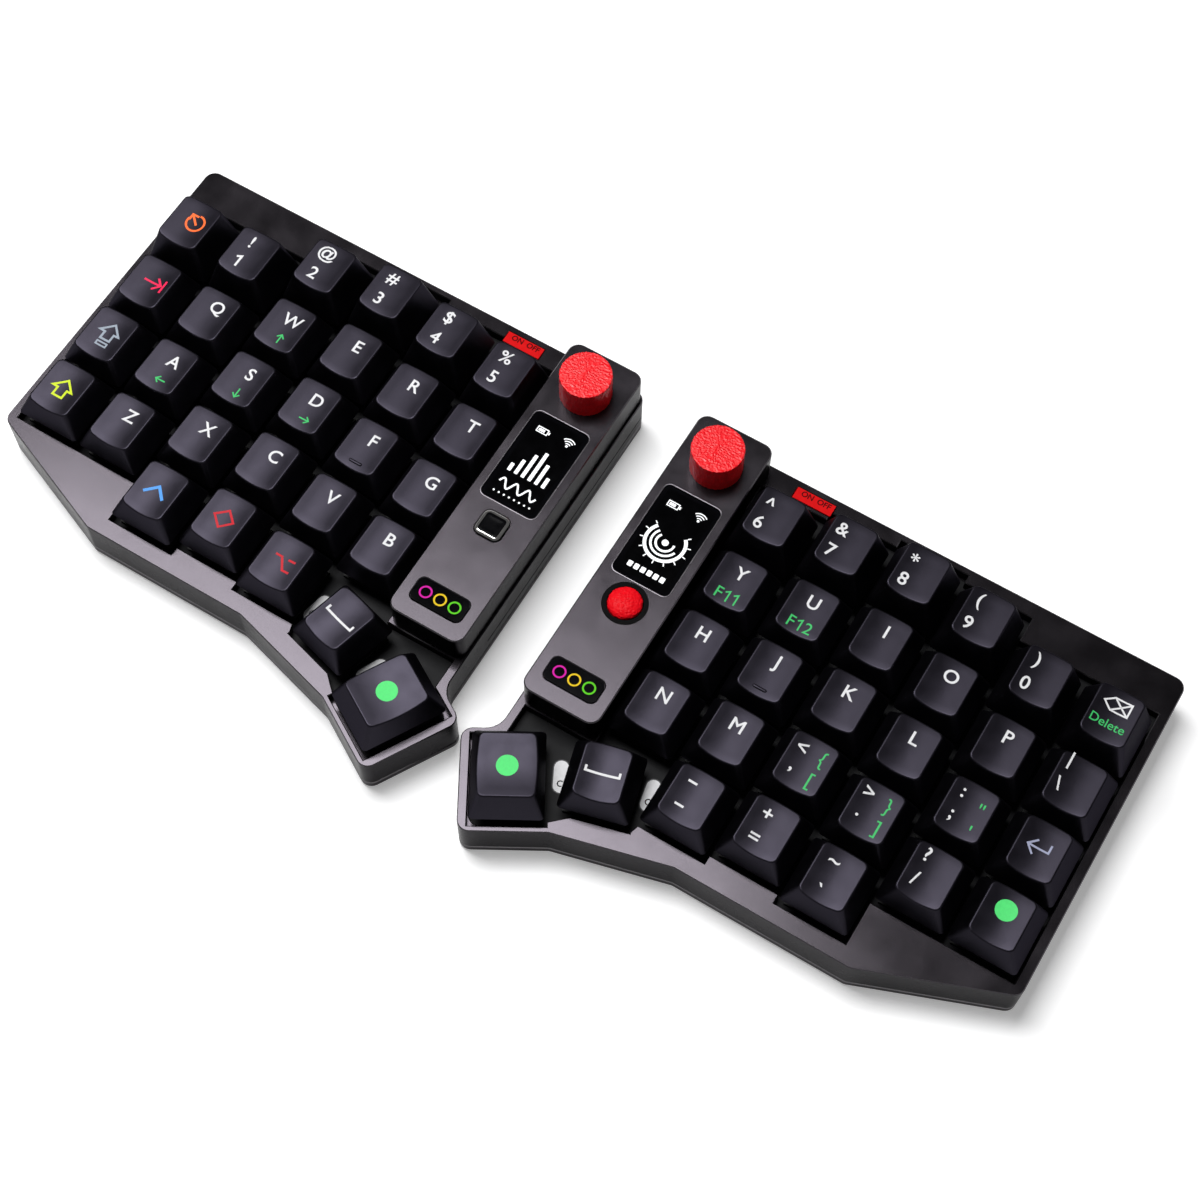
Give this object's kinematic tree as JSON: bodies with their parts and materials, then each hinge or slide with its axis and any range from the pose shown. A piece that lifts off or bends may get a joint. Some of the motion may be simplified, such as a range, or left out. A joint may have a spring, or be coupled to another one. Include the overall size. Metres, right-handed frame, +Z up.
{
  "type": "split keyboard",
  "caption": "Split ergonomic keyboard in two staggered-column halves with thumb keys, small displays, rotary knobs, push buttons and power switches.",
  "frame": {"origin": "middle of the footprint of both halves, on the desk", "axes": "+X to the user's right, +Y away from the user, +Z up"},
  "size_m": [0.2952, 0.1264, 0.0328],
  "materials": {
    "case_metal": "dark grey anodised, fine grain",
    "cover_metal": "dark grey anodised, fine grain",
    "bottom_metal": "grey anodised",
    "plate_metal": "black powder coat",
    "keycap": "fine matte charcoal",
    "switch": "moulded black",
    "board": "solder mask",
    "foam": "closed-cell foam",
    "socket": "plain",
    "cell": "foil pouch",
    "display": "dark panel",
    "window": "smoked",
    "encoder": "plain",
    "screw": "black oxide",
    "foot": "matte",
    "label": "printed",
    "knob": "red anodised, crinkled",
    "black_button": "polished",
    "red_button": "fine crinkle",
    "slider": "moulded black"
  },
  "bodies": {
    "base": {"left_case": "case_metal", "left_bottom_plate": "bottom_metal", "left_switch_plate": "plate_metal", "left_controller_cover": "cover_metal", "right_case": "case_metal", "right_bottom_plate": "bottom_metal", "right_switch_plate": "plate_metal", "right_controller_cover": "cover_metal", "foam_pads": "foam", "circuit_boards": "board", "usb_sockets": "socket", "batteries": "cell", "display_modules": "display", "cover_windows": "window", "encoders": "encoder", "panel_switches": "switch", "switch_housings": "switch", "screws": "screw", "feet": "foot", "power_labels": "label"},
    "left_button": {"left_button": "black_button"},
    "left_key_low_2": {"left_key_low_2": "keycap"},
    "left_key_low_3": {"left_key_low_3": "keycap"},
    "left_key_low_4": {"left_key_low_4": "keycap"},
    "left_key_space": {"left_key_space": "keycap"},
    "left_key_thumb": {"left_key_thumb": "keycap"},
    "left_keys_column_1_front": {"left_keys_column_1_front": "keycap"},
    "left_keys_column_1_rear": {"left_keys_column_1_rear": "keycap"},
    "left_keys_column_2_front": {"left_keys_column_2_front": "keycap"},
    "left_keys_column_2_rear": {"left_keys_column_2_rear": "keycap"},
    "left_keys_column_3_front": {"left_keys_column_3_front": "keycap"},
    "left_keys_column_3_rear": {"left_keys_column_3_rear": "keycap"},
    "left_keys_column_4_front": {"left_keys_column_4_front": "keycap"},
    "left_keys_column_4_rear": {"left_keys_column_4_rear": "keycap"},
    "left_keys_column_5_front": {"left_keys_column_5_front": "keycap"},
    "left_keys_column_5_rear": {"left_keys_column_5_rear": "keycap"},
    "left_keys_column_6_front": {"left_keys_column_6_front": "keycap"},
    "left_keys_column_6_rear": {"left_keys_column_6_rear": "keycap"},
    "left_knob": {"left_knob": "knob"},
    "left_power_slider": {"left_power_slider": "slider"},
    "right_button": {"right_button": "red_button"},
    "right_key_low_2": {"right_key_low_2": "keycap"},
    "right_key_low_3": {"right_key_low_3": "keycap"},
    "right_key_low_4": {"right_key_low_4": "keycap"},
    "right_key_space": {"right_key_space": "keycap"},
    "right_key_thumb": {"right_key_thumb": "keycap"},
    "right_keys_column_1_front": {"right_keys_column_1_front": "keycap"},
    "right_keys_column_1_rear": {"right_keys_column_1_rear": "keycap"},
    "right_keys_column_2_front": {"right_keys_column_2_front": "keycap"},
    "right_keys_column_2_rear": {"right_keys_column_2_rear": "keycap"},
    "right_keys_column_3_front": {"right_keys_column_3_front": "keycap"},
    "right_keys_column_3_rear": {"right_keys_column_3_rear": "keycap"},
    "right_keys_column_4_front": {"right_keys_column_4_front": "keycap"},
    "right_keys_column_4_rear": {"right_keys_column_4_rear": "keycap"},
    "right_keys_column_5_front": {"right_keys_column_5_front": "keycap"},
    "right_keys_column_5_rear": {"right_keys_column_5_rear": "keycap"},
    "right_keys_column_6_front": {"right_keys_column_6_front": "keycap"},
    "right_keys_column_6_rear": {"right_keys_column_6_rear": "keycap"},
    "right_knob": {"right_knob": "knob"},
    "right_power_slider": {"right_power_slider": "slider"}
  },
  "joints": [
    {"name": "left_button_press", "type": "slide", "parent": "base", "child": "left_button", "axis": [0, 0, -1], "range_m": [0, 0.0004], "stiffness_N_per_m": 500, "springref_m": -0.002},
    {"name": "left_key_low_2_press", "type": "slide", "parent": "base", "child": "left_key_low_2", "axis": [0, 0, -1], "range_m": [0, 0.004], "stiffness_N_per_m": 40, "springref_m": -0.0075},
    {"name": "left_key_low_3_press", "type": "slide", "parent": "base", "child": "left_key_low_3", "axis": [0, 0, -1], "range_m": [0, 0.004], "stiffness_N_per_m": 40, "springref_m": -0.0075},
    {"name": "left_key_low_4_press", "type": "slide", "parent": "base", "child": "left_key_low_4", "axis": [0, 0, -1], "range_m": [0, 0.004], "stiffness_N_per_m": 40, "springref_m": -0.0075},
    {"name": "left_key_space_press", "type": "slide", "parent": "base", "child": "left_key_space", "axis": [0, 0, -1], "range_m": [0, 0.004], "stiffness_N_per_m": 40, "springref_m": -0.0075},
    {"name": "left_key_thumb_press", "type": "slide", "parent": "base", "child": "left_key_thumb", "axis": [0, 0, -1], "range_m": [0, 0.004], "stiffness_N_per_m": 40, "springref_m": -0.0075},
    {"name": "left_keys_column_1_front_press", "type": "slide", "parent": "base", "child": "left_keys_column_1_front", "axis": [0, 0, -1], "range_m": [0, 0.004], "stiffness_N_per_m": 80, "springref_m": -0.0075},
    {"name": "left_keys_column_1_rear_press", "type": "slide", "parent": "base", "child": "left_keys_column_1_rear", "axis": [0, 0, -1], "range_m": [0, 0.004], "stiffness_N_per_m": 80, "springref_m": -0.0075},
    {"name": "left_keys_column_2_front_press", "type": "slide", "parent": "base", "child": "left_keys_column_2_front", "axis": [0, 0, -1], "range_m": [0, 0.004], "stiffness_N_per_m": 80, "springref_m": -0.0075},
    {"name": "left_keys_column_2_rear_press", "type": "slide", "parent": "base", "child": "left_keys_column_2_rear", "axis": [0, 0, -1], "range_m": [0, 0.004], "stiffness_N_per_m": 80, "springref_m": -0.0075},
    {"name": "left_keys_column_3_front_press", "type": "slide", "parent": "base", "child": "left_keys_column_3_front", "axis": [0, 0, -1], "range_m": [0, 0.004], "stiffness_N_per_m": 80, "springref_m": -0.0075},
    {"name": "left_keys_column_3_rear_press", "type": "slide", "parent": "base", "child": "left_keys_column_3_rear", "axis": [0, 0, -1], "range_m": [0, 0.004], "stiffness_N_per_m": 80, "springref_m": -0.0075},
    {"name": "left_keys_column_4_front_press", "type": "slide", "parent": "base", "child": "left_keys_column_4_front", "axis": [0, 0, -1], "range_m": [0, 0.004], "stiffness_N_per_m": 80, "springref_m": -0.0075},
    {"name": "left_keys_column_4_rear_press", "type": "slide", "parent": "base", "child": "left_keys_column_4_rear", "axis": [0, 0, -1], "range_m": [0, 0.004], "stiffness_N_per_m": 80, "springref_m": -0.0075},
    {"name": "left_keys_column_5_front_press", "type": "slide", "parent": "base", "child": "left_keys_column_5_front", "axis": [0, 0, -1], "range_m": [0, 0.004], "stiffness_N_per_m": 80, "springref_m": -0.0075},
    {"name": "left_keys_column_5_rear_press", "type": "slide", "parent": "base", "child": "left_keys_column_5_rear", "axis": [0, 0, -1], "range_m": [0, 0.004], "stiffness_N_per_m": 80, "springref_m": -0.0075},
    {"name": "left_keys_column_6_front_press", "type": "slide", "parent": "base", "child": "left_keys_column_6_front", "axis": [0, 0, -1], "range_m": [0, 0.004], "stiffness_N_per_m": 80, "springref_m": -0.0075},
    {"name": "left_keys_column_6_rear_press", "type": "slide", "parent": "base", "child": "left_keys_column_6_rear", "axis": [0, 0, -1], "range_m": [0, 0.004], "stiffness_N_per_m": 80, "springref_m": -0.0075},
    {"name": "left_knob_turn", "type": "hinge", "parent": "base", "child": "left_knob", "pos_m": [-0.01968, 0.05081, 0.0102], "axis": [0, 0, 1], "continuous": true},
    {"name": "left_power_slider_slide", "type": "slide", "parent": "base", "child": "left_power_slider", "axis": [-1, 0, 0], "range_m": [0, 0.002]},
    {"name": "right_button_press", "type": "slide", "parent": "base", "child": "right_button", "axis": [0, 0, -1], "range_m": [0, 0.0004], "stiffness_N_per_m": 500, "springref_m": -0.002},
    {"name": "right_key_low_2_press", "type": "slide", "parent": "base", "child": "right_key_low_2", "axis": [0, 0, -1], "range_m": [0, 0.004], "stiffness_N_per_m": 40, "springref_m": -0.0075},
    {"name": "right_key_low_3_press", "type": "slide", "parent": "base", "child": "right_key_low_3", "axis": [0, 0, -1], "range_m": [0, 0.004], "stiffness_N_per_m": 40, "springref_m": -0.0075},
    {"name": "right_key_low_4_press", "type": "slide", "parent": "base", "child": "right_key_low_4", "axis": [0, 0, -1], "range_m": [0, 0.004], "stiffness_N_per_m": 40, "springref_m": -0.0075},
    {"name": "right_key_space_press", "type": "slide", "parent": "base", "child": "right_key_space", "axis": [0, 0, -1], "range_m": [0, 0.004], "stiffness_N_per_m": 40, "springref_m": -0.0075},
    {"name": "right_key_thumb_press", "type": "slide", "parent": "base", "child": "right_key_thumb", "axis": [0, 0, -1], "range_m": [0, 0.004], "stiffness_N_per_m": 40, "springref_m": -0.0075},
    {"name": "right_keys_column_1_front_press", "type": "slide", "parent": "base", "child": "right_keys_column_1_front", "axis": [0, 0, -1], "range_m": [0, 0.004], "stiffness_N_per_m": 80, "springref_m": -0.0075},
    {"name": "right_keys_column_1_rear_press", "type": "slide", "parent": "base", "child": "right_keys_column_1_rear", "axis": [0, 0, -1], "range_m": [0, 0.004], "stiffness_N_per_m": 80, "springref_m": -0.0075},
    {"name": "right_keys_column_2_front_press", "type": "slide", "parent": "base", "child": "right_keys_column_2_front", "axis": [0, 0, -1], "range_m": [0, 0.004], "stiffness_N_per_m": 80, "springref_m": -0.0075},
    {"name": "right_keys_column_2_rear_press", "type": "slide", "parent": "base", "child": "right_keys_column_2_rear", "axis": [0, 0, -1], "range_m": [0, 0.004], "stiffness_N_per_m": 80, "springref_m": -0.0075},
    {"name": "right_keys_column_3_front_press", "type": "slide", "parent": "base", "child": "right_keys_column_3_front", "axis": [0, 0, -1], "range_m": [0, 0.004], "stiffness_N_per_m": 80, "springref_m": -0.0075},
    {"name": "right_keys_column_3_rear_press", "type": "slide", "parent": "base", "child": "right_keys_column_3_rear", "axis": [0, 0, -1], "range_m": [0, 0.004], "stiffness_N_per_m": 80, "springref_m": -0.0075},
    {"name": "right_keys_column_4_front_press", "type": "slide", "parent": "base", "child": "right_keys_column_4_front", "axis": [0, 0, -1], "range_m": [0, 0.004], "stiffness_N_per_m": 80, "springref_m": -0.0075},
    {"name": "right_keys_column_4_rear_press", "type": "slide", "parent": "base", "child": "right_keys_column_4_rear", "axis": [0, 0, -1], "range_m": [0, 0.004], "stiffness_N_per_m": 80, "springref_m": -0.0075},
    {"name": "right_keys_column_5_front_press", "type": "slide", "parent": "base", "child": "right_keys_column_5_front", "axis": [0, 0, -1], "range_m": [0, 0.004], "stiffness_N_per_m": 80, "springref_m": -0.0075},
    {"name": "right_keys_column_5_rear_press", "type": "slide", "parent": "base", "child": "right_keys_column_5_rear", "axis": [0, 0, -1], "range_m": [0, 0.004], "stiffness_N_per_m": 80, "springref_m": -0.0075},
    {"name": "right_keys_column_6_front_press", "type": "slide", "parent": "base", "child": "right_keys_column_6_front", "axis": [0, 0, -1], "range_m": [0, 0.004], "stiffness_N_per_m": 80, "springref_m": -0.0075},
    {"name": "right_keys_column_6_rear_press", "type": "slide", "parent": "base", "child": "right_keys_column_6_rear", "axis": [0, 0, -1], "range_m": [0, 0.004], "stiffness_N_per_m": 80, "springref_m": -0.0075},
    {"name": "right_knob_turn", "type": "hinge", "parent": "base", "child": "right_knob", "pos_m": [0.01968, 0.04961, 0.0102], "axis": [0, 0, 1], "continuous": true},
    {"name": "right_power_slider_slide", "type": "slide", "parent": "base", "child": "right_power_slider", "axis": [1, 0, 0], "range_m": [0, 0.002]}
  ]
}
